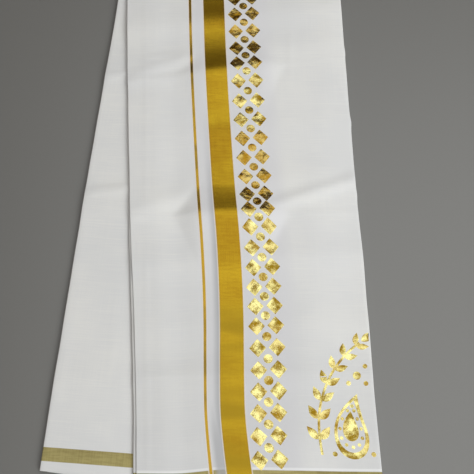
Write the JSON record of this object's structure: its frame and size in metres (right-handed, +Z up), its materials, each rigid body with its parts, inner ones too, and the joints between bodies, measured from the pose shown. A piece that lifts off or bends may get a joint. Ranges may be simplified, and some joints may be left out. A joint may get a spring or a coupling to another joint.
{
  "type": "dhoti cloth",
  "caption": "White cotton dhoti with a gold band, foil diamond print and hem stripes, folded lengthwise into a strip and laid flat.",
  "frame": {"origin": "centre of the footprint, on the surface that the folded cloth lies on", "axes": "+Y along the folded strip, away from the hem with the foil print, +X to the right of it, +Z up"},
  "size_m": [0.344, 1.2802, 0.0139],
  "materials": {
    "bordered_cotton": "bleached plain weave with a woven gold band and line, and a dull gold hem stripe",
    "striped_cotton": "bleached plain weave with a dull gold hem stripe and a white margin",
    "plain_cotton": "bleached plain weave, matte",
    "gold_foil": "thin hot-pressed gold foil, crinkled and bright"
  },
  "bodies": {
    "root": {"front_panel": "bordered_cotton", "second_panel": "plain_cotton", "rear_panel": "striped_cotton", "lower_panel": "plain_cotton", "folded_layers": "plain_cotton"}
  },
  "joints": []
}
